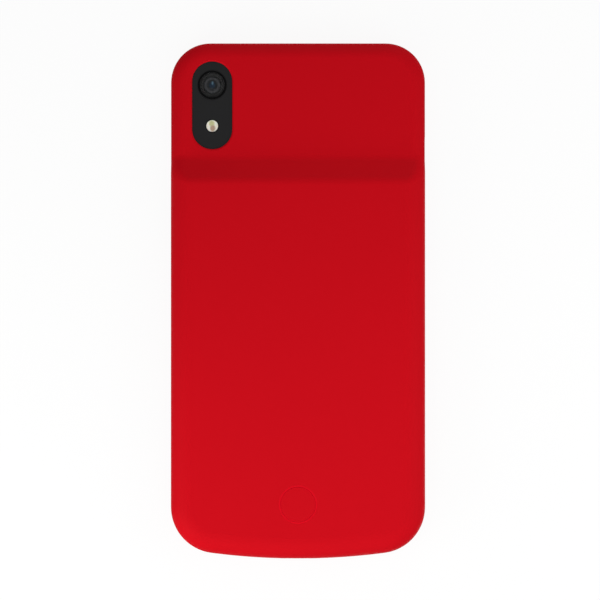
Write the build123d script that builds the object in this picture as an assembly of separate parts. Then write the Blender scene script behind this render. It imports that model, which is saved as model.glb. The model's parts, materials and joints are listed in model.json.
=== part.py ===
from build123d import *
import math
import os

# Battery charging case for a 6.1 inch class phone, lying on its open front with its back up.
# X runs across the case, Y from the charging socket to the camera end, Z from the front rim to the back.
# The origin lies on the rim plane, under the middle of the case. All sizes are millimetres.

# The phone that the case holds
phone_width = 75.7
phone_length = 150.9
phone_thickness = 8.3
phone_corner_radius = 10.35
phone_gap = 0.2

# Outer shell
side_wall = 1.75
upper_wall = 1.8
back_wall = 1.3
chin_depth = 8.35
chin_wall = 2.2
chin_corner_width = 7.05
lip_thickness = 1.0
lip_overhang = 1.2
bottom_arc_radius = 212.0
bottom_corner_radius = 14.5
front_edge_radius = 1.6
upper_edge_radius = 4.5
edge_crease = 0.1
hump_edge_radius = 6.5
step_foot_distance = 36.1
step_crest_distance = 43.15
crest_radius = 4.0
foot_radius = 3.0
hollow_corner_radius = 1.5

# Side openings over the phone's keys, measured down from the top of the phone
key_opening_height = 5.0
key_flare = 0.5
key_flare_angle = 45.0
right_keys_start = 26.0
right_keys_length = 38.0
left_key_start = 37.0
left_key_length = 21.0

# Inner tray and lining
tray_thickness = 1.0
tray_gap = 0.1
tray_ledge = 0.9
upstand_thickness = 1.2
lining_thickness = 0.3
lining_margin = 0.6

# Battery compartment
compartment_wall = 2.4
slope_wall = 1.6
cell_thickness = 3.9
cell_edge_radius = 1.2
cell_side_gap = 0.7
cell_end_gap = 0.6
cell_top_gap = 0.15
pad_thickness = 0.25
pad_margin = 3.0
terrace_length = 3.5
terrace_thickness = 0.35
terrace_margin = 2.0
protection_board_length = 44.0
pack_gap = 1.0

# Battery leads, flat strips with a small arch over the gap between the boards
lead_width = 3.0
lead_thickness = 0.15
lead_lap = 1.6
lead_end_inset = 7.0

# Screws and bosses
board_boss_radius = 1.6
board_screw_inset = 3.0
board_screw_length = 2.4
shank_radius = 0.65
shank_gap = 0.03
screw_head_radius = 1.5
screw_head_height = 0.5

# Main board and what is soldered to it
board_thickness = 0.8
board_lift = 0.6
board_side_margin = 4.0
board_end_margin = 2.2
board_upper_length = 11.5
chip_height = 0.85
controller_size = 5.0
charger_size = 4.0
chip_side_margin = 12.0
chip_pitch = 8.0
inductor_size = 6.0
inductor_gap = 0.4
inductor_corner_radius = 1.0
capacitor_length = 1.6
capacitor_width = 0.8
capacitor_height = 0.8
capacitor_pitch = 2.0
capacitor_count = 6

# Power button, light ring and switch
button_distance = 17.2
button_radius = 5.4
button_gap = 0.06
button_flange_width = 0.5
button_flange_thickness = 0.5
button_edge_chamfer = 0.05
button_travel = 0.3
ring_width = 0.6
ring_hole_gap = 0.02
ring_flange_width = 0.85
ring_flange_thickness = 0.6
ring_flange_gap = 0.05
stem_radius = 1.3
stem_length = 0.35
plunger_radius = 1.1
plunger_height = 0.4
plunger_gap = 0.1
plunger_depth = 0.3
bore_spare = 0.1
switch_size = 4.4
led_count = 4
led_length = 1.6
led_width = 0.8
led_height = 0.6

# Charging socket in the chin
socket_width = 8.9
socket_height = 3.2
socket_wall = 0.3
socket_recess = 0.9
socket_back_gap = 0.2
socket_drop = 1.65
socket_hole_gap = 0.25
socket_tab_width = 1.5
socket_tab_length = 1.0
socket_tab_spacing = 5.0
tongue_width = 6.6
tongue_height = 0.7
tongue_setback = 1.1

# Plug that goes into the phone
plug_width = 6.7
plug_height = 1.5
plug_length = 6.6
plug_tip_chamfer = 0.35
plug_contact_count = 8
plug_contact_width = 0.45
plug_contact_length = 2.2
plug_contact_pitch = 0.72
plug_contact_setback = 0.9
plug_contact_thickness = 0.04
plug_base_width = 12.0
plug_base_height = 4.2
plug_base_edge_radius = 0.8
plug_collar_margin = 0.4
plug_fit_gap = 0.03
plug_board_thickness = 0.8
plug_board_gap = 0.6
plug_board_left = 7.0
plug_board_right = 12.0
plug_board_height = 4.2
flex_width = 4.0
flex_thickness = 0.15
flex_bend_radius = 0.6
flex_lap = 2.2

# Sound outlets beside the plug
sound_slot_width = 11.2
sound_slot_height = 1.8
sound_slot_offset = 19.5
duct_wall = 0.8
duct_end_gap = 0.15

# Camera window
window_width = 12.6
window_length = 27.5
window_side_distance = 12.95
window_top_distance = 19.55
window_edge_chamfer = 0.4
plate_recess = 0.6
plate_gap = 0.05
plate_flange_width = 1.0
plate_flange_thickness = 0.6
lens_end_distance = 7.4
lens_ring_radius = 4.5
lens_ring_width = 0.6
lens_ring_rise = 0.2
lens_ring_foot_width = 0.4
lens_ring_foot_height = 0.4
lens_ledge_width = 0.7
lens_glass_thickness = 0.5
lens_glass_inset = 0.1
lens_fit_gap = 0.02
lens_air_gap = 0.05
barrel_floor = 0.2
barrel_step_width = 0.25
lens_element_radius = 2.65
lens_element_bevel = 0.3
flash_end_distance = 7.3
flash_radius = 1.83
flash_rise = 0.05

# Levels along Z that follow from the sizes above
z_lining = lip_thickness + phone_thickness + phone_gap
z_floor = z_lining + lining_thickness
z_upper = z_floor + upper_wall
z_tray = z_floor + tray_thickness
z_cell = z_tray + pad_thickness
z_ceiling = z_cell + cell_thickness + cell_top_gap
z_hump = z_ceiling + back_wall
z_board = z_tray + board_lift
z_board_top = z_board + board_thickness
z_plug = lip_thickness + (phone_thickness + phone_gap) / 2
z_socket = z_tray - socket_drop
z_plate_face = z_upper - plate_recess
z_ring_flange = z_ceiling - ring_flange_thickness
z_button_flange = z_ring_flange - ring_flange_gap - button_flange_thickness
z_plunger_top = z_button_flange - stem_length
z_switch_top = z_plunger_top - plunger_height

# Places across X
pocket_half_width = phone_width / 2 + phone_gap
case_half_width = pocket_half_width + side_wall
corner_radius = phone_corner_radius + phone_gap + side_wall
pocket_corner_radius = phone_corner_radius + phone_gap
chin_half_width = pocket_half_width - chin_corner_width
cell_half_width = case_half_width - hump_edge_radius - edge_crease - cell_side_gap
board_half_width = chin_half_width - board_side_margin
chip_x = board_half_width - chip_side_margin
window_x = window_side_distance - case_half_width

# Places along Y
case_length = phone_length + 2 * phone_gap + side_wall + chin_depth
y_top = case_length / 2
y_bottom = -y_top
y_pocket_top = y_top - side_wall
y_pocket_bottom = y_bottom + chin_depth
y_upstand_back = y_pocket_bottom - upstand_thickness
y_foot = y_top - step_foot_distance
y_crest = y_top - step_crest_distance
y_button = y_bottom + button_distance
y_board_top = y_button + board_upper_length
y_terrace_end = y_board_top + pack_gap
y_cell_bottom = y_terrace_end + terrace_length
y_window = y_top - window_top_distance
y_lens = y_window + window_length / 2 - lens_end_distance
y_flash = y_window - window_length / 2 + flash_end_distance
y_socket_mouth = y_bottom + socket_recess
y_socket_back = y_upstand_back - socket_back_gap
y_plug_board = y_bottom + chin_wall + plug_board_gap + plug_board_thickness

# The slope between the two levels of the back
slope_angle = math.atan2(z_hump - z_upper, y_foot - y_crest)
slope_wall_shift = slope_wall / math.sin(slope_angle)
through = case_length
hair = 0.001
on_floor = (Align.CENTER, Align.CENTER, Align.MIN)


def slope_y(z, shift=0.0):
    """Y of the slope, or of a plane shifted towards the socket end, at height z."""
    return y_crest + (z_hump - z) / math.tan(slope_angle) - shift


y_compartment_top = slope_y(z_tray, slope_wall_shift)
y_seat_top = y_compartment_top + tray_ledge
y_cell_top = slope_y(z_cell + cell_thickness, slope_wall_shift) - cell_end_gap

# The lights stand under the ring's flange, outside the button's flange
ring_inner_radius = button_radius + button_gap
ring_outer_radius = ring_inner_radius + ring_width
ring_flange_radius = ring_outer_radius + ring_flange_width
button_flange_radius = button_radius + button_flange_width
light_circle = (button_flange_radius + ring_flange_radius) / 2


def prism(face, z_from, z_to):
    """A face of the XY plane as a solid between two heights."""
    return Pos(0, 0, z_from) * extrude(face, z_to - z_from)


def block(x_from, x_to, y_from, y_to, z_from, z_to):
    """A box between six planes."""
    low = Align.MIN
    size = Box(x_to - x_from, y_to - y_from, z_to - z_from, align=(low, low, low))
    return Pos(x_from, y_from, z_from) * size


def rod(x, y, radius, z_from, z_to):
    """An upright cylinder."""
    return prism(Pos(x, y) * Circle(radius), z_from, z_to)


def edges_at(solid, z):
    """The edges of a solid that lie in one horizontal plane."""
    return solid.edges().filter_by_position(Axis.Z, z - hair, z + hair)


def side_slot(width, height, x, z, y_from, y_to):
    """A bar with round sides that runs along Y."""
    section = Plane.XZ * Pos(x, z) * SlotOverall(width, height)
    return Pos(0, y_to, 0) * extrude(section, y_to - y_from)


def upright_pill(width, length):
    """The camera window's outline, longest along Y."""
    return Pos(window_x, y_window) * SlotOverall(length, width, rotation=90)


def case_outline(inset=0.0):
    """Outline of the case: straight sides and top, shallow bottom arc and four round corners."""
    width = 2 * (case_half_width - inset)
    slab = Pos(0, y_top - inset) * Rectangle(width, 2 * case_length, align=(Align.CENTER, Align.MAX))
    disc = Pos(0, y_bottom + bottom_arc_radius) * Circle(bottom_arc_radius - inset)
    face = slab & disc
    face = fillet(face.vertices().group_by(Axis.Y)[-1], corner_radius - inset)
    return fillet(face.vertices().group_by(Axis.Y)[0], bottom_corner_radius - inset)


def pocket_outline(inset=0.0):
    """Outline of the phone with its clearance, drawn in by an inset."""
    width = 2 * (pocket_half_width - inset)
    length = y_pocket_top - y_pocket_bottom - 2 * inset
    middle = (y_pocket_top + y_pocket_bottom) / 2
    return Pos(0, middle) * RectangleRounded(width, length, pocket_corner_radius - inset)


def below_y(face, y_limit):
    """The part of a face on the socket side of a line across the case."""
    return face & Pos(0, y_limit - case_length) * Rectangle(2 * case_length, 2 * case_length)


def beyond_slope(shift=0.0):
    """Everything past the slope plane, on the camera side."""
    z_low = -z_hump
    z_high = 2 * z_hump
    corners = [
        (slope_y(z_low, shift), z_low),
        (slope_y(z_high, shift), z_high),
        (through, z_high),
        (through, z_low),
    ]
    return extrude(Plane.YZ * make_face(Polyline(*corners, close=True)), through, both=True)


def outer_form():
    """The moulded outside: a thin slab and a hump whose round edge is cut by the slope, blended in."""
    outline = case_outline()
    slab = extrude(outline, z_upper)
    slab = fillet(edges_at(slab, 0), front_edge_radius)
    crown = extrude(case_outline(-edge_crease), z_upper)
    crown = fillet(edges_at(crown, z_upper), upper_edge_radius + edge_crease)
    thin = slab & crown

    hump = prism(outline, front_edge_radius, z_hump)
    hump = fillet(edges_at(hump, z_hump), hump_edge_radius)
    hump -= beyond_slope()
    slope_normal = Vector(0, math.sin(slope_angle), math.cos(slope_angle))
    slope_face = hump.faces().filter_by(lambda f: (f.normal_at() - slope_normal).length < hair)[0]
    z_round_start = z_hump - hump_edge_radius
    crest = slope_face.edges().filter_by(lambda e: e.bounding_box().max.Z > z_round_start + hair)
    hump = fillet(crest, crest_radius)

    form = thin + hump
    foot = edges_at(form, z_upper).filter_by(GeomType.LINE).filter_by(Axis.X)
    return fillet(foot, foot_radius)


def compartment():
    """The hollow under the hump, its top edge bevelled to follow the round outside."""
    hollow = prism(case_outline(compartment_wall), 0, z_ceiling)
    hollow = chamfer(edges_at(hollow, z_ceiling), hump_edge_radius + edge_crease - compartment_wall)
    hollow -= beyond_slope(slope_wall_shift)
    return hollow - block(-through, through, -through, through, 0, z_tray)


def chin_face(inset=0.0):
    """Outline of the hollow in the chin, drawn in by an inset at its wall and ends."""
    face = below_y(case_outline(chin_wall + inset), y_pocket_bottom)
    half_width = chin_half_width - inset
    face &= Rectangle(2 * half_width, 2 * case_length)
    ends = face.vertices().filter_by(lambda v: abs(v.X) > half_width - hair)
    ends = ends.filter_by(lambda v: v.Y < y_pocket_bottom - hair)
    return fillet(ends, hollow_corner_radius)


def chin_lip_face(inset=0.0):
    """The strip of the front lip that the tray carries along the chin."""
    half_width = chin_half_width - inset
    strip = Rectangle(2 * half_width, lip_overhang + hollow_corner_radius, align=(Align.CENTER, Align.MAX))
    return Pos(0, y_pocket_bottom + lip_overhang) * strip


def board_screw_places():
    """A screw near each upper corner of the main board, whose other end is held by the socket."""
    x = board_half_width - board_screw_inset
    return [(side * x, y_board_top - board_screw_inset) for side in (-1, 1)]


def key_opening(side, start, length):
    """An opening in one long wall, flared at its mouth for the finger."""
    y_middle = y_pocket_top - phone_gap - start - length / 2
    section = Pos(y_middle, z_plug) * SlotOverall(length, key_opening_height)
    x_mouth = case_half_width - key_flare
    x_start = pocket_half_width - lip_overhang
    hole = Pos(x_start, 0, 0) * extrude(Plane.YZ * section, x_mouth - x_start)
    mouth = Pos(x_mouth, 0, 0) * extrude(Plane.YZ * section, 2 * key_flare, taper=-key_flare_angle)
    opening = hole + mouth
    return opening if side > 0 else mirror(opening, about=Plane.YZ)


def outer_shell():
    shell = outer_form()

    # Camera window with its eased edge, and the seat for the plate's flange on the inside
    shell -= prism(upright_pill(window_width, window_length), z_floor, z_upper)
    rim = edges_at(shell, z_upper).filter_by(lambda e: abs(e.center().X - window_x) < window_width)
    rim = rim.filter_by(lambda e: abs(e.center().Y - y_window) < window_length)
    shell = chamfer(rim, window_edge_chamfer)
    flange_extra = 2 * (plate_flange_width + plate_gap)
    seat = upright_pill(window_width + flange_extra, window_length + flange_extra)
    shell -= prism(seat, z_floor, z_floor + plate_flange_thickness)

    # Phone bay, front lip, tray seat, battery compartment and chin
    shell -= prism(pocket_outline(), lip_thickness, z_floor)
    shell -= prism(pocket_outline(lip_overhang), -lip_thickness, lip_thickness)
    shell -= prism(below_y(pocket_outline(), y_seat_top), z_floor, z_tray)
    shell -= compartment()
    shell -= prism(chin_face(), -lip_thickness, z_tray)
    shell -= prism(chin_lip_face(), -lip_thickness, lip_thickness)

    # Bosses that hang from the ceiling of the compartment
    for x, y in board_screw_places():
        shell += rod(x, y, board_boss_radius, z_board_top, z_ceiling + back_wall / 2)
        shell -= rod(x, y, shank_radius + shank_gap, z_board_top, z_board + board_screw_length + shank_gap)

    # Power button, charging socket and sound slots
    shell -= rod(0, y_button, ring_outer_radius + ring_hole_gap, z_ceiling, z_hump)
    hole_width = socket_width + 2 * socket_hole_gap
    hole_height = socket_height + 2 * socket_hole_gap
    shell -= side_slot(hole_width, hole_height, 0, z_socket, y_bottom, y_upstand_back)
    for x in (-sound_slot_offset, sound_slot_offset):
        shell -= side_slot(sound_slot_width, sound_slot_height, x, z_plug, y_bottom, y_upstand_back)

    # Openings over the phone's keys
    shell -= key_opening(1, right_keys_start, right_keys_length)
    shell -= key_opening(-1, left_key_start, left_key_length)
    return shell


def sound_duct(x, wall):
    """A square bar from the phone's foot past the chin: a duct's outside, or its bore with no wall."""
    half_width = sound_slot_width / 2 + wall
    half_height = sound_slot_height / 2 + wall
    z_low = z_plug - half_height
    return block(x - half_width, x + half_width, y_bottom, y_pocket_bottom, z_low, z_plug + half_height)


def inner_tray():
    """The black inner cover: plate over the battery, upstand behind the plug and front of the chin."""
    plate = below_y(pocket_outline(tray_gap), y_seat_top - tray_gap)
    tray = prism(plate, z_floor, z_tray)
    half_width = chin_half_width - tray_gap
    half_bridge = pocket_half_width - pocket_corner_radius
    tray += block(-half_bridge, half_bridge, y_upstand_back, y_pocket_bottom + tray_ledge, z_floor, z_tray)
    tray += block(-half_width, half_width, y_upstand_back, y_pocket_bottom, 0, z_tray)
    tray += prism(chin_face(tray_gap) + chin_lip_face(tray_gap), 0, lip_thickness)

    # Sound ducts that end just short of the curved chin wall
    room = prism(case_outline(chin_wall + duct_end_gap), 0, z_tray)
    for x in (-sound_slot_offset, sound_slot_offset):
        tray += sound_duct(x, duct_wall) & room
        tray -= sound_duct(x, 0)

    # Opening for the collar of the plug
    width = plug_width + 2 * plug_collar_margin
    height = plug_height + 2 * plug_collar_margin
    return tray - side_slot(width, height, 0, z_plug, y_upstand_back, y_pocket_bottom)


def back_lining():
    sheet = pocket_outline(lining_margin)
    flange = 2 * (plate_flange_width + plate_gap + lining_margin)
    sheet -= upright_pill(window_width + flange, window_length + flange)
    return prism(sheet, z_lining, z_floor)


def board_screws():
    """Pan-head screws that hold the main board under its bosses."""
    screws = []
    for x, y in board_screw_places():
        screw = rod(0, 0, screw_head_radius, z_board - screw_head_height, z_board)
        screw += rod(0, 0, shank_radius, z_board, z_board + board_screw_length)
        screws.append(Pos(x, y, 0) * screw)
    return Compound(children=screws)


def battery_pad():
    half_width = cell_half_width - pad_margin
    y_from = y_cell_bottom + pad_margin
    return block(-half_width, half_width, y_from, y_cell_top - pad_margin, z_tray, z_cell)


def battery_cell():
    """Flat pouch cell with soft long edges and the sealed terrace that carries its board."""
    z_top = z_cell + cell_thickness
    cell = block(-cell_half_width, cell_half_width, y_cell_bottom, y_cell_top, z_cell, z_top)
    cell = fillet(cell.edges().filter_by(Axis.Y), cell_edge_radius)
    half_width = cell_half_width - terrace_margin
    z_terrace = z_board - terrace_thickness
    return cell + block(-half_width, half_width, y_terrace_end, y_cell_bottom, z_terrace, z_board)


def protection_board():
    half_length = protection_board_length / 2
    return block(-half_length, half_length, y_terrace_end, y_cell_bottom, z_board, z_board_top)


def battery_lead(side):
    """A nickel strip from the protection board to the main board, arched over the gap."""
    y_from = y_board_top - lead_lap
    y_to = y_terrace_end + lead_lap
    y_middle = (y_board_top + y_terrace_end) / 2
    lead_arch = pack_gap / 3
    run = Line((y_from, 0), (y_board_top, 0))
    arch = ThreePointArc((y_board_top, 0), (y_middle, lead_arch), (y_terrace_end, 0))
    end = Line((y_terrace_end, 0), (y_to, 0))
    raised = [Pos(0, lead_thickness) * part for part in (run, arch, end)]
    sides = [Line((y, 0), (y, lead_thickness)) for y in (y_from, y_to)]
    section = make_face([run, arch, end] + raised + sides)
    strip = extrude(Plane.YZ * section, lead_width / 2, both=True)
    return Pos(side * (protection_board_length / 2 - lead_end_inset), 0, z_board_top) * strip


def main_board():
    outline = below_y(case_outline(compartment_wall + board_end_margin), y_board_top)
    outline &= Rectangle(2 * board_half_width, 2 * case_length)
    board = prism(outline, z_board, z_board_top)
    for x, y in board_screw_places():
        board -= rod(x, y, shank_radius + shank_gap, z_board, z_board_top)
    return board


def chip(x, y, size, height):
    """A square component standing on the main board."""
    return Pos(x, y, z_board_top) * Box(size, size, height, align=on_floor)


def controller_chip():
    return chip(-chip_x, y_button, controller_size, chip_height)


def charger_chip():
    return chip(-chip_x, y_button - chip_pitch, charger_size, chip_height)


def power_inductor():
    body = chip(chip_x, y_button, inductor_size, z_ceiling - inductor_gap - z_board_top)
    return fillet(body.edges().filter_by(Axis.Z), inductor_corner_radius)


def board_capacitors():
    """A row of small ceramic capacitors under the inductor."""
    row = []
    for index in range(capacitor_count):
        x = chip_x + (index - (capacitor_count - 1) / 2) * capacitor_pitch
        part = Box(capacitor_width, capacitor_length, capacitor_height, align=on_floor)
        row.append(Pos(x, y_button - chip_pitch, z_board_top) * part)
    return Compound(children=row)


def plunger_bore_bottom():
    return z_switch_top - plunger_depth - button_travel - bore_spare


def tact_switch():
    body = chip(0, y_button, switch_size, z_switch_top - z_board_top)
    return body - rod(0, y_button, plunger_radius + plunger_gap, plunger_bore_bottom(), z_switch_top)


def switch_plunger():
    return rod(0, y_button, plunger_radius, z_switch_top - plunger_depth, z_plunger_top)


def power_button():
    """Flush round cap with an eased edge, a flange under the light ring and a stem on the switch."""
    z_flange_top = z_button_flange + button_flange_thickness
    cap = rod(0, y_button, button_radius, z_flange_top, z_hump)
    cap = chamfer(edges_at(cap, z_hump), button_edge_chamfer)
    cap += rod(0, y_button, button_flange_radius, z_button_flange, z_flange_top)
    return cap + rod(0, y_button, stem_radius, z_plunger_top, z_button_flange)


def light_places():
    step = 360 / led_count
    angles = [math.radians(step * (index + 0.5)) for index in range(led_count)]
    return [(light_circle * math.cos(a), y_button + light_circle * math.sin(a)) for a in angles]


def light_ring():
    """Clear ring flush with the back, glued by its flange under the ceiling."""
    ring = rod(0, y_button, ring_outer_radius, z_ring_flange, z_hump)
    ring += rod(0, y_button, ring_flange_radius, z_ring_flange, z_ceiling)
    return ring - rod(0, y_button, ring_inner_radius, z_ring_flange, z_hump)


def indicator_leds():
    lights = []
    for x, y in light_places():
        part = Box(led_length, led_width, led_height, align=on_floor)
        lights.append(Pos(x, y, z_board_top) * part)
    return Compound(children=lights)


def socket_shell():
    """Drawn metal can, open at the chin, hung from the main board by two tabs."""
    can = side_slot(socket_width, socket_height, 0, z_socket, y_socket_mouth, y_socket_back)
    z_roof = z_socket + socket_height / 2 - socket_wall
    y_tab = y_socket_back - socket_tab_length
    half_tab = socket_tab_width / 2
    for x in (-socket_tab_spacing / 2, socket_tab_spacing / 2):
        can += block(x - half_tab, x + half_tab, y_tab, y_socket_back, z_roof, z_board)
    bore_width = socket_width - 2 * socket_wall
    bore_height = socket_height - 2 * socket_wall
    y_wall = y_socket_back - socket_wall
    return can - side_slot(bore_width, bore_height, 0, z_socket, y_socket_mouth, y_wall)


def socket_tongue():
    half_width = tongue_width / 2
    half_height = tongue_height / 2
    y_from = y_socket_mouth + tongue_setback
    y_to = y_socket_back - socket_wall
    return block(-half_width, half_width, y_from, y_to, z_socket - half_height, z_socket + half_height)


def plug_base():
    """Moulded block behind the upstand, with a collar that fills the upstand's opening."""
    half_width = plug_base_width / 2
    z_low = z_plug - plug_base_height / 2
    z_high = z_plug + plug_base_height / 2
    base = block(-half_width, half_width, y_plug_board, y_upstand_back, z_low, z_high)
    base = fillet(base.edges().filter_by(Axis.Y), plug_base_edge_radius)
    collar = 2 * (plug_collar_margin - plug_fit_gap)
    base += side_slot(plug_width + collar, plug_height + collar, 0, z_plug, y_upstand_back, y_pocket_bottom)
    fit = 2 * plug_fit_gap
    return base - side_slot(plug_width + fit, plug_height + fit, 0, z_plug, y_plug_board, y_pocket_bottom)


def plug_tongue():
    """Flat reversible tongue with an eased tip, from the plug's board into the phone."""
    y_tip = y_pocket_bottom + plug_length
    tongue = side_slot(plug_width, plug_height, 0, z_plug, y_plug_board, y_tip)
    tip_edges = tongue.edges().filter_by_position(Axis.Y, y_tip - hair, y_tip + hair)
    return chamfer(tip_edges, plug_tip_chamfer)


def plug_contacts():
    """Flat gold contacts in a row on both faces of the tongue."""
    y_to = y_pocket_bottom + plug_length - plug_contact_setback
    y_from = y_to - plug_contact_length
    pads = []
    for face in (-1, 1):
        z_face = z_plug + face * plug_height / 2
        z_low, z_high = sorted([z_face, z_face + face * plug_contact_thickness])
        for index in range(plug_contact_count):
            x = (index - (plug_contact_count - 1) / 2) * plug_contact_pitch
            half = plug_contact_width / 2
            pads.append(block(x - half, x + half, y_from, y_to, z_low, z_high))
    return Compound(children=pads)


def plug_board():
    """Small upright board that the plug is soldered to."""
    y_back = y_plug_board - plug_board_thickness
    z_low = z_plug - plug_board_height / 2
    z_high = z_plug + plug_board_height / 2
    return block(-plug_board_left, plug_board_right, y_back, y_plug_board, z_low, z_high)


def plug_flex():
    """Flat flexible strip from the front of the plug's board to the underside of the main board."""
    z_end = z_board - flex_thickness
    y_face = y_plug_board
    inner = flex_bend_radius
    outer = flex_bend_radius + flex_thickness
    y_center = y_face + outer
    z_center = z_board - outer
    y_tip = y_upstand_back + flex_lap
    bend = Pos(y_center, z_center) * (Circle(outer) - Circle(inner))
    corner = Pos(y_center, z_center) * Rectangle(outer, outer, align=(Align.MAX, Align.MIN))
    section = bend & corner
    low = (Align.MIN, Align.MIN)
    section += Pos(y_face, z_plug) * Rectangle(flex_thickness, z_center - z_plug, align=low)
    section += Pos(y_center, z_end) * Rectangle(y_tip - y_center, flex_thickness, align=low)
    return Pos(plug_board_right - flex_width, 0, 0) * extrude(Plane.YZ * section, flex_width)


def camera_plate():
    """Dark plate that fills the camera window from the inside."""
    gap = 2 * plate_gap
    flange = 2 * plate_flange_width
    plate = prism(upright_pill(window_width - gap, window_length - gap), z_floor, z_plate_face)
    wide = upright_pill(window_width + flange, window_length + flange)
    plate += prism(wide, z_floor, z_floor + plate_flange_thickness)
    hole = lens_ring_radius + lens_fit_gap
    plate -= rod(window_x, y_lens, hole, z_floor, z_plate_face)
    plate -= rod(window_x, y_lens, hole + lens_ring_foot_width, z_floor, z_floor + lens_ring_foot_height)
    return plate - rod(window_x, y_flash, flash_radius + lens_fit_gap, z_floor, z_plate_face)


def lens_glass_bottom():
    return z_plate_face + lens_ring_rise - lens_glass_inset - lens_glass_thickness


def turned(points, x, y):
    """A solid of revolution about an upright axis, from its half section."""
    section = make_face(Polyline(*points, close=True))
    return Pos(x, y, 0) * revolve(Plane.XZ * section, Axis.Z)


def lens_ring():
    """Black ring with a foot behind the plate and a ledge under the glass."""
    outer = lens_ring_radius
    inner = lens_ring_radius - lens_ring_width
    ledge = inner - lens_ledge_width
    z_top = z_plate_face + lens_ring_rise
    z_foot = z_floor + lens_ring_foot_height
    foot = outer + lens_ring_foot_width
    section = [
        (ledge, z_floor),
        (foot, z_floor),
        (foot, z_foot),
        (outer, z_foot),
        (outer, z_top),
        (inner, z_top),
        (inner, lens_glass_bottom()),
        (ledge, lens_glass_bottom()),
    ]
    return turned(section, window_x, y_lens)


def lens_glass():
    radius = lens_ring_radius - lens_ring_width - lens_fit_gap
    z_bottom = lens_glass_bottom()
    glass = rod(window_x, y_lens, radius, z_bottom, z_bottom + lens_glass_thickness)
    return chamfer(edges_at(glass, z_bottom + lens_glass_thickness), lens_glass_inset)


def barrel_radius():
    return lens_ring_radius - lens_ring_width - lens_ledge_width - lens_fit_gap


def lens_barrel():
    """Closed black cup behind the glass, stepped inwards towards the lens element."""
    outer = barrel_radius()
    z_top = lens_glass_bottom() - lens_air_gap
    z_bottom = z_floor + barrel_floor
    z_step = (z_top + z_bottom) / 2
    section = [
        (0, z_floor),
        (outer, z_floor),
        (outer, z_top),
        (outer - barrel_step_width, z_top),
        (outer - barrel_step_width, z_step),
        (lens_element_radius + lens_fit_gap, z_step),
        (lens_element_radius + lens_fit_gap, z_bottom),
        (0, z_bottom),
    ]
    return turned(section, window_x, y_lens)


def lens_element():
    """The front element in the bottom of the barrel."""
    z_bottom = z_floor + barrel_floor
    z_top = lens_glass_bottom() - 2 * lens_air_gap
    element = rod(window_x, y_lens, lens_element_radius, z_bottom, z_top)
    return chamfer(edges_at(element, z_top), lens_element_bevel)


def flash_lens():
    return rod(window_x, y_flash, flash_radius, z_floor, z_plate_face + flash_rise)


nodes = {
    "outer_shell": outer_shell(),
    "inner_tray": inner_tray(),
    "back_lining": back_lining(),
    "battery_cell": battery_cell(),
    "battery_pad": battery_pad(),
    "protection_board": protection_board(),
    "positive_lead": battery_lead(1),
    "negative_lead": battery_lead(-1),
    "main_board": main_board(),
    "board_screws": board_screws(),
    "controller_chip": controller_chip(),
    "charger_chip": charger_chip(),
    "power_inductor": power_inductor(),
    "board_capacitors": board_capacitors(),
    "tact_switch": tact_switch(),
    "switch_plunger": switch_plunger(),
    "power_button": power_button(),
    "light_ring": light_ring(),
    "indicator_leds": indicator_leds(),
    "socket_shell": socket_shell(),
    "socket_tongue": socket_tongue(),
    "plug_base": plug_base(),
    "plug_tongue": plug_tongue(),
    "plug_contacts": plug_contacts(),
    "plug_board": plug_board(),
    "plug_flex": plug_flex(),
    "camera_plate": camera_plate(),
    "lens_ring": lens_ring(),
    "lens_glass": lens_glass(),
    "lens_barrel": lens_barrel(),
    "lens_element": lens_element(),
    "flash_lens": flash_lens(),
}

os.makedirs("parts", exist_ok=True)
for name, solid in nodes.items():
    export_step(solid, f"parts/{name}.step")
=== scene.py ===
import json
import math

import bmesh
import bpy
from mathutils import Matrix, Vector


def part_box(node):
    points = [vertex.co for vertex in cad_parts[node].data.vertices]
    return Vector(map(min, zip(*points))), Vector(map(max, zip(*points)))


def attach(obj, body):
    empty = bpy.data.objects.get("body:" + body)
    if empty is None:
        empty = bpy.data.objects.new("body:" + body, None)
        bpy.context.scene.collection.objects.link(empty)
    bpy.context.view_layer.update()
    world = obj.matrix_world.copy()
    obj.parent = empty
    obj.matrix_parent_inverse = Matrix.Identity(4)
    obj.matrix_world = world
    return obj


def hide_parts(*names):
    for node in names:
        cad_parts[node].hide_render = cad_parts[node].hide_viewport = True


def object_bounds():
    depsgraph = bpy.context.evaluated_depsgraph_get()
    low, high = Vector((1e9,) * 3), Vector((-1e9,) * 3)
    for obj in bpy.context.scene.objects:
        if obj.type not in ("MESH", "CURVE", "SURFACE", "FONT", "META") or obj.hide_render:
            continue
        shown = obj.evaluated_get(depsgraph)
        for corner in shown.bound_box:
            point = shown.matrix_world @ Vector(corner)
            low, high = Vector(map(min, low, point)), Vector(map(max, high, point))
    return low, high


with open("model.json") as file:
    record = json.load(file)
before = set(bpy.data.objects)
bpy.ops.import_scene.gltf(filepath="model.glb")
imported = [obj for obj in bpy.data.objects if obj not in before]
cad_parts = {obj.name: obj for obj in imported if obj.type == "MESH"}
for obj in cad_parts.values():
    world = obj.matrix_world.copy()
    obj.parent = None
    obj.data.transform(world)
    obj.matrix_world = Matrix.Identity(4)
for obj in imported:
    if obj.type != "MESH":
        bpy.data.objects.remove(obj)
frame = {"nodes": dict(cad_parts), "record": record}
cad_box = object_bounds()
nodes = frame["nodes"]
MM = 0.001

# Where the photograph was taken from: straight above the back, with a long lens
IMAGE_WIDTH = 187.9 * MM
VIEW_CENTER = Vector((0.62, 0.235, 9.9)) * MM
CAMERA_DISTANCE = 1.2
SENSOR_WIDTH = 36.0

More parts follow.
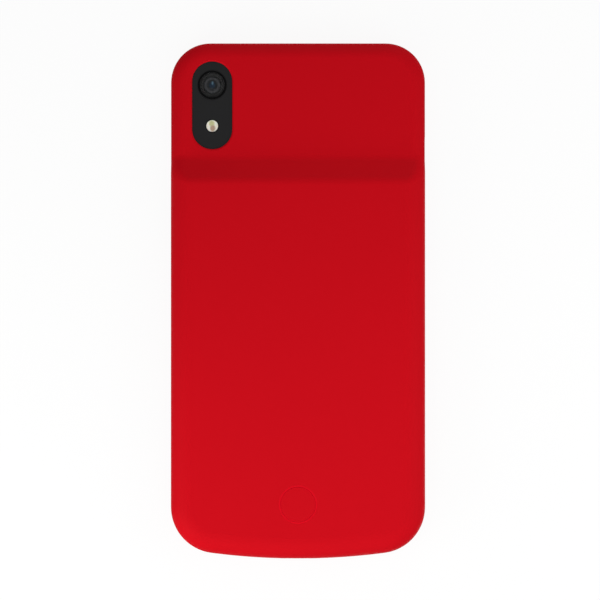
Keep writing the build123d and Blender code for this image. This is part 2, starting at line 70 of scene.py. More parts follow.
# Soft boxes: place and side length in metres, power in watts
LIGHT_AIM = Vector((0.0, -0.03, 0.01))
SOFT_BOXES = {
    "left_soft_box": ((-0.20, -0.15, 0.12), 0.2, 0.385),
    "right_soft_box": ((0.20, -0.05, 0.12), 0.2, 0.223),
    "chin_soft_box": ((0.0, -0.30, 0.15), 0.2, 0.2),
    "head_soft_box": ((0.10, 0.50, 0.16), 0.3, 0.604),
    "overhead_soft_box": ((0.0, -0.12, 0.30), 0.3, 0.22),
    "under_soft_box": ((0.10, -0.15, -0.50), 0.4, 1.6),
}
ROOM_FILL = 0.296

# Floor: half its side in metres, its drop under the rim in millimetres, and how much of it shows as white
FLOOR_REACH = 20.0
FLOOR_DROP = 0.02
FLOOR_GLOW = 0.92

# Outline on the floor under the case: margins inside the CAD box and a corner radius, in millimetres
FOOT_MARGIN = 2.0
CHIN_MARGIN = 3.2
FOOT_CORNER = 13.0

# Finishes, in linear colour
SHELL_RED = (0.585, 0.0035, 0.0095, 1)
# The ring's own red, also used for the painted highlight on the button's rim
RING_RED = (0.68, 0.003, 0.0113, 1)
TRAY_BLACK = (0.016, 0.016, 0.018, 1)
LINING_BLACK = (0.036, 0.036, 0.039, 1)
PILE_LIGHT = (0.075, 0.075, 0.079, 1)
PILE_DARK = (0.014, 0.014, 0.015, 1)
PLATE_BLACK = (0.009, 0.009, 0.0095, 1)
LENS_BLACK = (0.0015, 0.0015, 0.0017, 1)
LEDGE_GREY = (0.026, 0.026, 0.026, 1)
BARREL_GREY = (0.018, 0.018, 0.018, 1)
# Painted glint: a reflection in the lens painted as a pale blue spot
PAINTED_PUPIL_GLINT = (0.09, 0.17, 0.23, 1)
PUPIL_BLUE = (0.014, 0.0245, 0.0405, 1)
ELEMENT_GREY = (0.0165, 0.018, 0.019, 1)
# Ground rim of the lens element, painted lighter as a stand-in for the element's reflection
ELEMENT_RIM_AND_REFLECTION = (0.05, 0.05, 0.053, 1)
GLASS_TINT = (0.93, 0.96, 1.0, 1)
FLASH_PALE = (0.86, 0.83, 0.72, 1)
FLASH_YELLOW = (0.57, 0.56, 0.28, 1)
FLASH_AMBER = (0.42, 0.27, 0.18, 1)
STEEL = (0.6, 0.6, 0.61, 1)
NICKEL = (0.63, 0.61, 0.56, 1)
GOLD = (0.83, 0.6, 0.24, 1)
BOARD_GREEN = (0.02, 0.12, 0.055, 1)
BOARD_COPPER = (0.06, 0.2, 0.08, 1)
CHIP_BLACK = (0.022, 0.022, 0.023, 1)
CERAMIC_TAN = (0.42, 0.3, 0.18, 1)
LAMP_WHITE = (0.85, 0.82, 0.68, 1)
FOIL_SILVER = (0.68, 0.68, 0.7, 1)
FOAM_GREY = (0.3, 0.3, 0.3, 1)
GRILLE_GREY = (0.05, 0.05, 0.052, 1)
FLOOR_PAINT = (0.95, 0.95, 0.95, 1)
WHITE = (1, 1, 1, 1)

# Sizes of the solids that new pieces and finishes fit, in millimetres
SOUND_SLOT_OFFSET = 19.5
SOUND_SLOT_WIDTH = 11.2
SOUND_SLOT_HEIGHT = 1.8
PLUG_LEVEL = 5.25
BUTTON_RADIUS = 5.4
LENS_RING_RADIUS = 4.5
ELEMENT_RADIUS = 2.65

# Spots of colour on the lens and the flash, the lens's spot being a painted glint: places from their axes in
# metres, other sizes in millimetres
FLASH_CHIP_OFFSET = Vector((-0.15, 0.75, 0.0)) * MM
FLASH_CHIP_SIZE = (1.05, 1.25)
FLASH_SEAL_RADIUS = 2.25
PAINTED_GLINT_PLACE = Vector((0.1, 0.65, 0.0)) * MM
PAINTED_GLINT_SIZE = (0.42, 0.75)

# Sizes and places of the new pieces, in millimetres
GLASS_CLEARANCE = 0.03
GLASS_RIM = 0.1
FLASH_SHOULDER = 0.1
FLASH_CREST_DROP = 0.02
FLASH_ROOT_DROP = 0.1
PAD_PITCH = 0.5
PAD_WIDTH = 0.28
PAD_THICKNESS = 0.03
PAD_START = 0.35
PAD_END = 2.9
GRILLE_Y = -76.1
GRILLE_BAR = 0.16
GRILLE_PITCH = 0.48
WELD_DISTANCE = 0.0005

# Counts and shares of the new pieces
DOME_SHARE = 0.7
FLASH_RINGS = 4
PAD_COUNT = 12
CROSS_BARS = (-0.5, 0.0, 0.5)


# Shader nodes

def add_node(tree, kind, inputs=None, **settings):
    """A node with its settings. An input given as a socket is linked, and anything else is its value."""
    made = tree.nodes.new(kind)
    for key, value in settings.items():
        setattr(made, key, value)
    for key, value in (inputs or {}).items():
        if isinstance(value, bpy.types.NodeSocket):
            tree.links.new(value, made.inputs[key])
        else:
            made.inputs[key].default_value = value
    return made


def math_node(tree, operation, first, second=0.0):
    """The result of an operation on one or two numbers."""
    return add_node(tree, "ShaderNodeMath", {0: first, 1: second}, operation=operation).outputs[0]


def vector_node(tree, operation, *values):
    """The outputs of an operation on one or two vectors."""
    inputs = dict(enumerate(values))
    return add_node(tree, "ShaderNodeVectorMath", inputs, operation=operation).outputs


def mix_colors(tree, factor, first, second):
    """A colour between two others."""
    inputs = {0: factor, 6: first, 7: second}
    return add_node(tree, "ShaderNodeMix", inputs, data_type="RGBA").outputs[2]


def mix_shaders(tree, factor, first, second):
    """A shader between two others."""
    inputs = {0: factor, 1: first.outputs[0], 2: second.outputs[0]}
    return add_node(tree, "ShaderNodeMixShader", inputs)


def spread(tree, value, low, high):
    """A value from 0 to 1 laid out between two limits."""
    limits = {"Value": value, "To Min": low, "To Max": high}
    return add_node(tree, "ShaderNodeMapRange", limits).outputs["Result"]


def object_point(tree, scale=(1, 1, 1), turn=0.0):
    """Object coordinates, stretched and turned about the upright axis."""
    point = tree.nodes.new("ShaderNodeTexCoord").outputs["Object"]
    if scale == (1, 1, 1) and turn == 0.0:
        return point
    mapping = {"Vector": point, "Scale": scale, "Rotation": (0, 0, turn)}
    return add_node(tree, "ShaderNodeMapping", mapping).outputs["Vector"]


def noise(tree, point, scale, detail=3.0, roughness=0.55):
    """Cloudy noise from 0 to 1."""
    inputs = {"Vector": point, "Scale": scale, "Detail": detail, "Roughness": roughness}
    return add_node(tree, "ShaderNodeTexNoise", inputs).outputs["Fac"]


def bumped(tree, height, depth):
    """The normal of a surface that a height from 0 to 1 raises by a depth in millimetres."""
    return add_node(tree, "ShaderNodeBump", {"Height": height, "Distance": depth * MM}).outputs["Normal"]


def any_ray(tree, *kinds):
    """One for the kinds of ray that are named, and nothing for the rest."""
    path = tree.nodes.new("ShaderNodeLightPath").outputs
    found = path[kinds[0]]
    for kind in kinds[1:]:
        found = math_node(tree, "MAXIMUM", found, path[kind])
    return found


# Effects that more than one finish uses

def start_group(name, inputs, outputs):
    """A node group with its inputs as (label, kind, value) and its outputs as (label, kind)."""
    tree = bpy.data.node_groups.new(name, "ShaderNodeTree")
    for label, kind, value in inputs:
        tree.interface.new_socket(label, in_out="INPUT", socket_type=kind).default_value = value
    for label, kind in outputs:
        tree.interface.new_socket(label, in_out="OUTPUT", socket_type=kind)
    taken = tree.nodes.new("NodeGroupInput").outputs
    given = tree.nodes.new("NodeGroupOutput").inputs
    return tree, taken, given


def moulded_grain_group():
    """The fine spark-eroded grain of a mould: a height for bump and a speckle for roughness."""
    tree, taken, given = start_group(
        "moulded_grain",
        [("Scale", "NodeSocketFloat", 3000.0)],
        [("Height", "NodeSocketFloat"), ("Speckle", "NodeSocketFloat")],
    )
    pit_share = 0.5
    speckle_share = 0.1
    point = object_point(tree)
    fine = noise(tree, point, taken["Scale"], detail=4.0, roughness=0.65)
    pits = add_node(tree, "ShaderNodeTexVoronoi", {"Vector": point, "Scale": taken["Scale"]})
    pitted = math_node(tree, "MULTIPLY", pits.outputs["Distance"], pit_share)
    tree.links.new(math_node(tree, "ADD", fine, pitted), given["Height"])
    coarse = math_node(tree, "MULTIPLY", taken["Scale"], speckle_share)
    tree.links.new(noise(tree, point, coarse), given["Speckle"])
    return tree


def tone_drift_group():
    """A slow drift of a colour's brightness over the surface."""
    tree, taken, given = start_group(
        "tone_drift",
        [
            ("Color", "NodeSocketColor", (0.5, 0.5, 0.5, 1)),
            ("Amount", "NodeSocketFloat", 0.05),
            ("Scale", "NodeSocketFloat", 60.0),
        ],
        [("Color", "NodeSocketColor")],
    )
    cloud = noise(tree, object_point(tree), taken["Scale"], detail=5.0, roughness=0.6)
    swing = math_node(tree, "MULTIPLY", math_node(tree, "SUBTRACT", cloud, 0.5), taken["Amount"])
    level = math_node(tree, "ADD", math_node(tree, "MULTIPLY", swing, 2.0), 1.0)
    scaled = add_node(tree, "ShaderNodeVectorMath", {0: taken["Color"], 3: level}, operation="SCALE")
    tree.links.new(scaled.outputs["Vector"], given["Color"])
    return tree


def eased_edge_group():
    """Sharp edges drawn as small rounds, with the grain's bump on top."""
    tree, taken, given = start_group(
        "eased_edge",
        [
            ("Radius", "NodeSocketFloat", 0.0002),
            ("Height", "NodeSocketFloat", 0.0),
            ("Depth", "NodeSocketFloat", 0.00001),
        ],
        [("Normal", "NodeSocketVector")],
    )
    rounded = add_node(tree, "ShaderNodeBevel", {"Radius": taken["Radius"]}, samples=6)
    bump = {"Height": taken["Height"], "Distance": taken["Depth"], "Normal": rounded.outputs["Normal"]}
    tree.links.new(add_node(tree, "ShaderNodeBump", bump).outputs["Normal"], given["Normal"])
    return tree


def brushed_lines_group():
    """Fine drawn lines along Y on metal."""
    tree, taken, given = start_group(
        "brushed_lines",
        [("Scale", "NodeSocketFloat", 2500.0)],
        [("Height", "NodeSocketFloat"), ("Streak", "NodeSocketFloat")],
    )
    streak_share = 0.2
    point = object_point(tree, scale=(1.0, 0.03, 1.0))
    tree.links.new(noise(tree, point, taken["Scale"], roughness=0.6), given["Height"])
    coarse = math_node(tree, "MULTIPLY", taken["Scale"], streak_share)
    tree.links.new(noise(tree, point, coarse), given["Streak"])
    return tree


def radial_rings_group():
    """Distance from an upright axis in millimetres, and rings round that axis."""
    tree, taken, given = start_group(
        "radial_rings",
        [("Center", "NodeSocketVector", (0, 0, 0)), ("Pitch", "NodeSocketFloat", 0.4)],
        [("Distance", "NodeSocketFloat"), ("Rings", "NodeSocketFloat")],
    )
    offset = vector_node(tree, "SUBTRACT", object_point(tree), taken["Center"])["Vector"]
    level = vector_node(tree, "MULTIPLY", offset, (1, 1, 0))["Vector"]
    distance = math_node(tree, "DIVIDE", vector_node(tree, "LENGTH", level)["Value"], MM)
    tree.links.new(distance, given["Distance"])
    turns = math_node(tree, "DIVIDE", math_node(tree, "MULTIPLY", distance, 2 * math.pi), taken["Pitch"])
    wave = math_node(tree, "ADD", math_node(tree, "MULTIPLY", math_node(tree, "SINE", turns), 0.5), 0.5)
    tree.links.new(wave, given["Rings"])
    return tree


moulded_grain = moulded_grain_group()
tone_drift = tone_drift_group()
eased_edge = eased_edge_group()
brushed_lines = brushed_lines_group()
radial_rings = radial_rings_group()


def place_group(tree, group, inputs):
    """The outputs of a group that is placed in a material with its own values."""
    return add_node(tree, "ShaderNodeGroup", inputs, node_tree=group).outputs


def toned(tree, color, amount, scale):
    """A colour whose brightness drifts over the surface."""
    return place_group(tree, tone_drift, {"Color": color, "Amount": amount, "Scale": scale})["Color"]


def eased(tree, edge, height, depth):
    """The normal of eased edges with a bump on top; edge radius and bump depth are in millimetres."""
    inputs = {"Radius": edge * MM, "Height": height, "Depth": depth * MM}
    return place_group(tree, eased_edge, inputs)["Normal"]


# Kinds of finish

def start_finish(name, sockets):
    """A material with its shader; values that are the same all over go on the shader's own sockets."""
    material = bpy.data.materials.new(name)
    material.use_nodes = True
    shader = material.node_tree.nodes["Principled BSDF"]
    for key, value in sockets.items():
        shader.inputs[key].default_value = value
    return material, material.node_tree, shader.inputs


def radial_steps(tree, distance, reach, steps):
    """Colours by distance from the axis, from (share of reach, colour) pairs."""
    ramp = add_node(tree, "ShaderNodeValToRGB", {"Fac": math_node(tree, "DIVIDE", distance, reach)})
    stops = ramp.color_ramp.elements
    stops[0].position, stops[0].color = steps[0]
    stops[1].position, stops[1].color = steps[-1]
    for position, color in steps[1:-1]:
        stops.new(position).color = color
    return ramp.outputs["Color"]


def banded(tree, center, reach, steps):
    """Rings of colour round an upright axis."""
    return radial_steps(tree, place_group(tree, radial_rings, {"Center": center})["Distance"], reach, steps)


def soft_spot(tree, center, size):
    """One at a place on the surface, falling to nothing at the rim of an ellipse of the given half sizes."""
    scale = Vector((1 / (size[0] * MM), 1 / (size[1] * MM), 0.0))
    mapping = {"Vector": object_point(tree), "Scale": scale, "Location": -center * scale}
    place = {"Vector": add_node(tree, "ShaderNodeMapping", mapping).outputs["Vector"]}
    return add_node(tree, "ShaderNodeTexGradient", place, gradient_type="SPHERICAL").outputs["Fac"]


def moulded(name, color, rough, grain, depth, drift, drift_scale, edge, sockets=None, bands=None):
    """Moulded or painted plastic: drifting tone, speckled gloss, fine grain and eased edges."""
    material, tree, shader = start_finish(name, sockets or {})
    if bands:
        color = banded(tree, *bands)
    tree.links.new(toned(tree, color, drift, drift_scale), shader["Base Color"])
    grained = place_group(tree, moulded_grain, {"Scale": grain})
    tree.links.new(spread(tree, grained["Speckle"], *rough), shader["Roughness"])
    tree.links.new(eased(tree, edge, grained["Height"], depth), shader["Normal"])
    return material


def drawn_metal(name, color, rough, lines=2500.0, depth=0.003, drift=0.06):
    """Bare or plated metal with drawn lines and slightly uneven gloss."""
    material, tree, shader = start_finish(name, {"Metallic": 1.0})
    tree.links.new(toned(tree, color, drift, scale=300.0), shader["Base Color"])
    drawn = place_group(tree, brushed_lines, {"Scale": lines})
    tree.links.new(spread(tree, drawn["Streak"], *rough), shader["Roughness"])
    tree.links.new(eased(tree, edge=0.08, height=drawn["Height"], depth=depth), shader["Normal"])
    return material


def microfibre(name, color):
    """Short soft pile: crossed fibres, brushed patches and a sheen."""
    sockets = {"Sheen Weight": 0.35, "Sheen Roughness": 0.5, "Specular IOR Level": 0.1, "Roughness": 0.95}
    material, tree, shader = start_finish(name, sockets)
    fibre = (1.0, 0.18, 1.0)
    along = noise(tree, object_point(tree, scale=fibre, turn=0.5), scale=5200.0)
    across = noise(tree, object_point(tree, scale=fibre, turn=-0.9), scale=4300.0)
    pile = math_node(tree, "MAXIMUM", along, across)
    brushed = noise(tree, object_point(tree, scale=(1.0, 0.45, 1.0), turn=0.2), scale=90.0, detail=4.0)
    lighter = mix_colors(tree, brushed, toned(tree, color, amount=0.12, scale=220.0), PILE_LIGHT)
    darker = mix_colors(tree, spread(tree, pile, 0.75, 0.0), lighter, PILE_DARK)
    tree.links.new(darker, shader["Base Color"])
    tree.links.new(bumped(tree, pile, depth=0.06), shader["Normal"])
    return material


def board_mask(name):
    """Solder mask over copper runs, with slight unevenness."""
    material, tree, shader = start_finish(name, {"Coat Weight": 0.2, "Coat Roughness": 0.2})
    bricks = {"Vector": object_point(tree), "Scale": 260.0, "Mortar Size": 0.03, "Mortar Smooth": 0.2}
    runs = add_node(tree, "ShaderNodeTexBrick", bricks, offset=0.35).outputs["Fac"]
    mask = toned(tree, BOARD_GREEN, amount=0.1, scale=150.0)
    tree.links.new(mix_colors(tree, runs, mask, BOARD_COPPER), shader["Base Color"])
    grained = place_group(tree, moulded_grain, {"Scale": 1800.0})
    tree.links.new(spread(tree, grained["Speckle"], 0.3, 0.45), shader["Roughness"])
    tree.links.new(bumped(tree, runs, depth=0.02), shader["Normal"])
    return material


def pouch_foil(name):
    """Soft aluminium foil with shallow creases."""
    material, tree, shader = start_finish(name, {"Metallic": 1.0})
    creases = noise(tree, object_point(tree, scale=(1.0, 1.0, 0.2)), scale=140.0, detail=6.0, roughness=0.6)
    tree.links.new(toned(tree, FOIL_SILVER, amount=0.06, scale=80.0), shader["Base Color"])
    tree.links.new(spread(tree, creases, 0.3, 0.5), shader["Roughness"])
    tree.links.new(bumped(tree, creases, depth=0.15), shader["Normal"])
    return material


def coated_element(name, center):
    """Front lens element: blue pupil, painted glint, dark body and ground rim with painted reflection, under
    a clear coat.
    """
    sockets = {"Coat Weight": 0.05, "Coat Roughness": 0.04, "Specular IOR Level": 0.04}
    material, tree, shader = start_finish(name, sockets)
    radial = place_group(tree, radial_rings, {"Center": center, "Pitch": 0.35})
    # The rim band is a ground rim painted lighter than it would be alone, a painted reflection
    steps = [
        (0.0, PUPIL_BLUE), (0.26, PUPIL_BLUE), (0.44, ELEMENT_GREY), (0.56, ELEMENT_GREY),
        (0.76, ELEMENT_RIM_AND_REFLECTION), (0.84, ELEMENT_RIM_AND_REFLECTION), (1.0, ELEMENT_GREY),
    ]
    body = radial_steps(tree, radial["Distance"], ELEMENT_RADIUS, steps)
    # Painted glint: a pale blue reflection spot painted just above the pupil
    painted_glint = soft_spot(tree, center + PAINTED_GLINT_PLACE, PAINTED_GLINT_SIZE)
    tree.links.new(mix_colors(tree, painted_glint, body, PAINTED_PUPIL_GLINT), shader["Base Color"])
    tree.links.new(spread(tree, radial["Rings"], 0.1, 0.22), shader["Roughness"])
    return material


def clear_glass(name):
    """Thin cover glass whose coating keeps reflections off, so that nearly all light goes through it."""
    sockets = {"Transmission Weight": 1.0, "IOR": 1.0, "Alpha": 0.04, "Base Color": GLASS_TINT}
    material, tree, shader = start_finish(name, sockets)
    smear = noise(tree, object_point(tree, scale=(1.0, 0.3, 1.0), turn=0.6), scale=700.0, detail=4.0)
    tree.links.new(spread(tree, smear, 0.0, 0.015), shader["Roughness"])
    return material


def flash_resin(name, center):
    """Frosted pale resin, moulded in rings, over a yellow and an amber light chip."""
    sockets = {
        "Subsurface Weight": 0.15, "Subsurface Scale": 0.0005,
        "Coat Weight": 0.3, "Coat Roughness": 0.1,
    }
    material, tree, shader = start_finish(name, sockets)
    radial = place_group(tree, radial_rings, {"Center": center, "Pitch": 0.42})
    specks = noise(tree, object_point(tree), scale=2200.0)
    tone = FLASH_PALE
    for offset, color in ((FLASH_CHIP_OFFSET, FLASH_YELLOW), (-FLASH_CHIP_OFFSET, FLASH_AMBER)):
        chip = soft_spot(tree, center + offset, FLASH_CHIP_SIZE)
        cover = math_node(tree, "MULTIPLY", chip, spread(tree, specks, 1.0, 3.4))
        tone = mix_colors(tree, cover, tone, color)
    tree.links.new(tone, shader["Base Color"])
    tree.links.new(spread(tree, radial["Rings"], 0.25, 0.4), shader["Roughness"])
    tree.links.new(bumped(tree, radial["Rings"], depth=0.02), shader["Normal"])
    return material


# Finishes of the case

def middle(node):
    """The middle of a solid's box."""
    low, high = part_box(node)
    return (low + high) / 2


lens_axis = middle("lens_ring")
flash_axis = middle("flash_lens")
button_axis = middle("power_button")

red_coat = {"Specular IOR Level": 0.02}
satin = {"Specular IOR Level": 0.12}
dull = {"Specular IOR Level": 0.04}
ring_steps = [(0.0, LEDGE_GREY), (0.86, LEDGE_GREY), (0.87, LENS_BLACK), (1.0, LENS_BLACK)]
ring_bands = (lens_axis, LENS_RING_RADIUS, ring_steps)
seal_steps = [(0.0, LENS_BLACK), (0.95, LENS_BLACK), (1.0, PLATE_BLACK)]
seal_bands = (flash_axis, FLASH_SEAL_RADIUS, seal_steps)
# Painted highlight: the button's outer edge is painted in the ring's lighter red, so the light band looks
# wider and the gap's shade fainter
button_rim_highlight_steps = [(0.0, SHELL_RED), (0.955, SHELL_RED), (0.965, RING_RED), (1.0, RING_RED)]
button_rim_highlight_bands = (button_axis, BUTTON_RADIUS, button_rim_highlight_steps)
soft_touch = {
    "color": SHELL_RED, "rough": (0.5, 0.6), "grain": 4200.0, "depth": 0.016,
    "drift": 0.012, "drift_scale": 45.0, "edge": 0.12, "sockets": red_coat,
}
finishes = {
    "shell_red": moulded("soft_touch_red", **soft_touch),
    "tray_black": moulded(
        "grained_black", TRAY_BLACK, rough=(0.5, 0.66), grain=2600.0, depth=0.02,
        drift=0.1, drift_scale=90.0, edge=0.15,
    ),
    "lining_black": microfibre("microfibre_black", LINING_BLACK),
    "steel": drawn_metal("drawn_steel", STEEL, rough=(0.22, 0.36)),
    "contact_gold": drawn_metal(
        "plated_gold", GOLD, rough=(0.16, 0.28), lines=3200.0, depth=0.001, drift=0.08
    ),
    "board_green": board_mask("solder_mask_green"),
    "component_black": moulded(
        "moulded_chip", CHIP_BLACK, rough=(0.45, 0.6), grain=5200.0, depth=0.01,
        drift=0.12, drift_scale=400.0, edge=0.08,
    ),
    "capacitor_tan": moulded(
        "fired_ceramic", CERAMIC_TAN, rough=(0.4, 0.5), grain=6000.0, depth=0.004,
        drift=0.15, drift_scale=900.0, edge=0.06,
    ),
    "light_white": moulded(
        "clear_epoxy", LAMP_WHITE, rough=(0.12, 0.2), grain=5000.0, depth=0.002,
        drift=0.06, drift_scale=900.0, edge=0.06,
    ),
    "cell_silver": pouch_foil("pouch_foil"),
    "pad_grey": moulded(
        "foam_tape", FOAM_GREY, rough=(0.85, 0.95), grain=1500.0, depth=0.08,
        drift=0.15, drift_scale=500.0, edge=0.1,
    ),
    "lead_nickel": drawn_metal("nickel_strip", NICKEL, rough=(0.25, 0.4)),
    "ring_red": moulded(
        "light_ring_red", RING_RED, rough=(0.32, 0.4), grain=3000.0, depth=0.003,
        drift=0.04, drift_scale=300.0, edge=0.05, sockets=red_coat,
    ),
    "camera_black": moulded(
        "satin_plate", PLATE_BLACK, rough=(0.42, 0.52), grain=3600.0, depth=0.006,
        drift=0.1, drift_scale=120.0, edge=0.08, sockets=satin, bands=seal_bands,
    ),
    "lens_black": moulded(
        "anodised_black", LENS_BLACK, rough=(0.25, 0.35), grain=3000.0, depth=0.003,
        drift=0.1, drift_scale=300.0, edge=0.05, sockets=dull, bands=ring_bands,
    ),
    "lens_clear": clear_glass("coated_glass"),
    "flash_amber": flash_resin("flash_resin", flash_axis),
}
# The button's finish carries the painted highlight on its rim
button_finish = moulded("soft_touch_button", bands=button_rim_highlight_bands, **soft_touch)
barrel_finish = moulded(
    "barrel_matt", BARREL_GREY, rough=(0.5, 0.6), grain=3000.0, depth=0.004,
    drift=0.1, drift_scale=300.0, edge=0.05, sockets=satin,
)
element_finish = coated_element("coated_element", lens_axis)
grille_finish = drawn_metal("grille_steel", GRILLE_GREY, rough=(0.4, 0.55))

for row in frame["record"]["subparts"]:
    slots = nodes[row["node"]].data.materials
    slots.clear()
    slots.append(finishes[row["material_slot"]])
nodes["lens_barrel"].data.materials[0] = barrel_finish
nodes["power_button"].data.materials[0] = button_finish


# New pieces

def add_object(name, data):
    """An object in the scene, at the origin until it is placed."""
    made = bpy.data.objects.new(name, data)
    bpy.context.scene.collection.objects.link(made)
    return made


def add_mesh(name, bm):
    """An object with the mesh that was modelled."""
    mesh = bpy.data.meshes.new(name)
    bm.to_mesh(mesh)
    bm.free()
    return add_object(name, mesh)


def finish_piece(bm, name, material, sharp=40.0):
    """Makes the piece's object at the origin, shades it and lets it ride on the case."""
    bmesh.ops.remove_doubles(bm, verts=bm.verts, dist=WELD_DISTANCE * MM)
    bmesh.ops.recalc_face_normals(bm, faces=bm.faces)
    piece = add_mesh(name, bm)
    piece.data.shade_smooth()
    piece.data.set_sharp_from_angle(angle=math.radians(sharp))
    piece.data.materials.append(material)
    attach(piece, "case")
    return piece


def spun(profile, axis, steps):
    """A half section, as (radius, height) pairs in millimetres, spun round an upright axis."""
    bm = bmesh.new()
    points = [bm.verts.new((radius * MM, 0, height * MM)) for radius, height in profile]
    edges = [bm.edges.new(pair) for pair in zip(points, points[1:])]
    whole = {"geom": points + edges, "axis": (0, 0, 1), "cent": (0, 0, 0), "angle": 2 * math.pi}
    bmesh.ops.spin(bm, steps=steps, use_merge=True, use_duplicate=False, dvec=(0, 0, 0), **whole)
    bmesh.ops.translate(bm, verts=bm.verts, vec=(axis.x, axis.y, 0))
    return bm


def bar(bm, low, high):
    """A bar between two corners in millimetres."""
    size = Vector(high) - Vector(low)
    place = Matrix.Translation((Vector(low) + size / 2) * MM) @ Matrix.Diagonal((*(size * MM), 1))
    bmesh.ops.create_cube(bm, size=1.0, matrix=place)


def in_row(center, count, pitch):
    """Places in a row about its middle."""
    return [center + (index - (count - 1) / 2) * pitch for index in range(count)]


def lens_dome():
    """The front element as a shallow dome on its seat."""
    low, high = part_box("lens_element")
    radius = (high.x - low.x) / 2
    rise = DOME_SHARE * (high.z - low.z)
    ball = (radius ** 2 + rise ** 2) / (2 * rise)
    bm = bmesh.new()
    bmesh.ops.create_uvsphere(bm, u_segments=64, v_segments=128, radius=ball)
    whole = bm.verts[:] + bm.edges[:] + bm.faces[:]
    cut = bmesh.ops.bisect_plane(
        bm, geom=whole, plane_co=(0, 0, ball - rise), plane_no=(0, 0, 1), clear_inner=True
    )
    rim = [edge for edge in cut["geom_cut"] if isinstance(edge, bmesh.types.BMEdge)]
    wall = bmesh.ops.extrude_edge_only(bm, edges=rim)["geom"]
    foot = [vert for vert in wall if isinstance(vert, bmesh.types.BMVert)]
    bmesh.ops.translate(bm, verts=foot, vec=(0, 0, low.z - high.z + rise))
    bmesh.ops.holes_fill(bm, edges=bm.edges, sides=0)
    bmesh.ops.translate(bm, verts=bm.verts, vec=(lens_axis.x, lens_axis.y, high.z - ball))
    piece = finish_piece(bm, "lens_dome", element_finish)
    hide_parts("lens_element")


def cover_glass():
    """The lens window: a flat disc with a rounded rim, just clear of the ledge that carries it."""
    low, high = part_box("lens_glass")
    radius = (high.x - low.x) / 2 / MM
    bottom = low.z / MM + GLASS_CLEARANCE
    top = high.z / MM
    rim = GLASS_RIM
    profile = [
        (0, bottom), (radius - 0.5 * rim, bottom), (radius, bottom + 0.5 * rim), (radius, top - rim),
        (radius - 0.3 * rim, top - 0.3 * rim), (radius - rim, top), (0, top),
    ]
    disc = spun(profile, lens_axis, steps=96)
    piece = finish_piece(disc, "cover_glass", finishes["lens_clear"], sharp=60.0)
    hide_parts("lens_glass")


def flash_cap():
    """The flash window: a plain drum with rings moulded into its face."""
    low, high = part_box("flash_lens")
    radius = (high.x - low.x) / 2 / MM
    bottom = low.z / MM
    top = high.z / MM
    crest = top - FLASH_CREST_DROP
    root = top - FLASH_ROOT_DROP
    profile = [(0, bottom), (radius, bottom), (radius, top - FLASH_SHOULDER), (radius - FLASH_SHOULDER, top)]
    ringed = radius - 2 * FLASH_SHOULDER
    pitch = ringed / (FLASH_RINGS + 0.5)
    for index in range(FLASH_RINGS):
        outer = ringed - index * pitch
        profile += [(outer, crest), (outer - 0.25 * pitch, root), (outer - 0.85 * pitch, crest)]
    profile += [(0.3 * pitch, top - 2 * FLASH_CREST_DROP), (0, top - 1.5 * FLASH_CREST_DROP)]
    drum = spun(profile, flash_axis, steps=56)
    piece = finish_piece(drum, "flash_cap", finishes["flash_amber"], sharp=60.0)
    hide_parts("flash_lens")


def socket_pads():
    """Gold contacts in a row on both faces of the socket's tongue."""
    low, high = (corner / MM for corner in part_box("socket_tongue"))
    half = PAD_WIDTH / 2
    start = low.y + PAD_START
    end = low.y + PAD_END
    bm = bmesh.new()
    for x in in_row((low.x + high.x) / 2, PAD_COUNT, PAD_PITCH):
        for z_from, z_to in ((low.z - PAD_THICKNESS, low.z), (high.z, high.z + PAD_THICKNESS)):
            bar(bm, (x - half, start, z_from), (x + half, end, z_to))
    finish_piece(bm, "socket_pads", finishes["contact_gold"])


def sound_grilles():
    """A fine bar grille set back in each sound duct, its uprights in front of its cross bars."""
    half = GRILLE_BAR / 2
    half_width = SOUND_SLOT_WIDTH / 2
    half_height = SOUND_SLOT_HEIGHT / 2
    joined = GRILLE_Y + GRILLE_BAR
    back = joined + GRILLE_BAR
    bm = bmesh.new()
    for center in (-SOUND_SLOT_OFFSET, SOUND_SLOT_OFFSET):
        for x in in_row(center, int(SOUND_SLOT_WIDTH / GRILLE_PITCH), GRILLE_PITCH):
            low = (x - half, GRILLE_Y, PLUG_LEVEL - half_height)
            bar(bm, low, (x + half, joined, PLUG_LEVEL + half_height))
        for share in CROSS_BARS:
            z = PLUG_LEVEL + share * half_height
            bar(bm, (center - half_width, joined, z - half), (center + half_width, back, z + half))
    finish_piece(bm, "sound_grilles", grille_finish)


lens_dome()
cover_glass()
flash_cap()
socket_pads()
sound_grilles()


# Floor, light and camera

def shown_white(tree):
    """One for the rays that show the background: camera, mirror and see-through rays."""
    return any_ray(tree, "Is Camera Ray", "Is Glossy Ray", "Is Transmission Ray")


def under_case(tree):
    """One on the floor inside the rim that the case stands on, and nothing outside it."""
    low = Vector((cad_box[0].x + FOOT_MARGIN * MM, cad_box[0].y + CHIN_MARGIN * MM, 0.0))
    high = Vector((cad_box[1].x - FOOT_MARGIN * MM, cad_box[1].y - FOOT_MARGIN * MM, 0.0))
    straight = (high - low) / 2 - Vector((FOOT_CORNER, FOOT_CORNER, 0.0)) * MM
    place = vector_node(tree, "SUBTRACT", object_point(tree), (low + high) / 2)["Vector"]
    place = vector_node(tree, "ABSOLUTE", place)["Vector"]
    place = vector_node(tree, "SUBTRACT", place, straight)["Vector"]
    place = vector_node(tree, "MAXIMUM", place, (0, 0, 0))["Vector"]
    distance = vector_node(tree, "LENGTH", place)["Value"]
    return math_node(tree, "LESS_THAN", distance, FOOT_CORNER * MM)


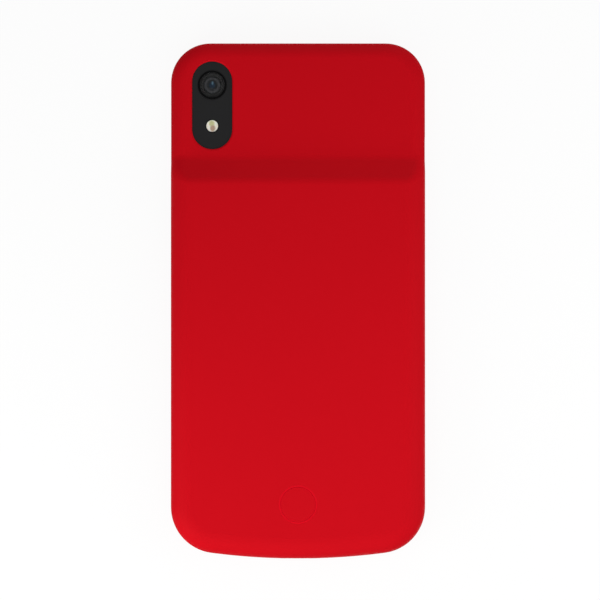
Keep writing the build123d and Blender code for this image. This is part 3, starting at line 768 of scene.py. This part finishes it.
def lay_floor():
    """White floor that takes the shadow but lets light through, so that the open front is lit as well."""
    bm = bmesh.new()
    bmesh.ops.create_grid(bm, x_segments=1, y_segments=1, size=FLOOR_REACH)
    bmesh.ops.translate(bm, verts=bm.verts, vec=(0, 0, cad_box[0].z - FLOOR_DROP * MM))
    floor = add_mesh("studio_floor", bm)

    material = bpy.data.materials.new("pale_floor")
    material.use_nodes = True
    tree = material.node_tree
    tree.nodes.clear()
    paint = add_node(tree, "ShaderNodeBsdfDiffuse", {"Color": FLOOR_PAINT})
    white = add_node(tree, "ShaderNodeEmission", {"Color": WHITE, "Strength": 1.0})
    clear = tree.nodes.new("ShaderNodeBsdfTransparent")
    open_floor = math_node(tree, "SUBTRACT", 1.0, under_case(tree))
    glow = math_node(tree, "MULTIPLY", shown_white(tree), FLOOR_GLOW)
    lit = mix_shaders(tree, math_node(tree, "MULTIPLY", glow, open_floor), paint, white)
    passed = any_ray(tree, "Is Shadow Ray", "Is Diffuse Ray")
    below = tree.nodes.new("ShaderNodeNewGeometry").outputs["Backfacing"]
    faced = mix_shaders(tree, math_node(tree, "MAXIMUM", passed, below), lit, clear)
    add_node(tree, "ShaderNodeOutputMaterial", {"Surface": faced.outputs[0]})
    floor.data.materials.append(material)


def light_room():
    """A room that shows white and gives a low fill, and the soft boxes that light the case."""
    world = bpy.data.worlds.new("studio_room")
    world.use_nodes = True
    tree = world.node_tree
    tree.nodes.clear()
    dim = add_node(tree, "ShaderNodeBackground", {"Color": WHITE, "Strength": ROOM_FILL})
    white = add_node(tree, "ShaderNodeBackground", {"Color": WHITE, "Strength": 1.0})
    shown = mix_shaders(tree, shown_white(tree), dim, white)
    add_node(tree, "ShaderNodeOutputWorld", {"Surface": shown.outputs[0]})
    bpy.context.scene.world = world

    for name, (place, size, power) in SOFT_BOXES.items():
        lamp = bpy.data.lights.new(name, "AREA")
        lamp.size = size
        lamp.energy = power
        holder = add_object(name, lamp)
        holder.location = place
        holder.rotation_euler = (LIGHT_AIM - Vector(place)).to_track_quat("-Z", "Y").to_euler()
        holder.visible_camera = False


def set_camera():
    """A camera that looks straight down on the back and takes in as much as the photograph."""
    data = bpy.data.cameras.new("photo_camera")
    data.sensor_width = SENSOR_WIDTH
    data.lens = SENSOR_WIDTH * CAMERA_DISTANCE / IMAGE_WIDTH
    camera = add_object("photo_camera", data)
    camera.location = VIEW_CENTER + Vector((0, 0, CAMERA_DISTANCE))
    bpy.context.scene.camera = camera


lay_floor()
light_room()
set_camera()
bpy.context.scene.view_settings.view_transform = "Standard"
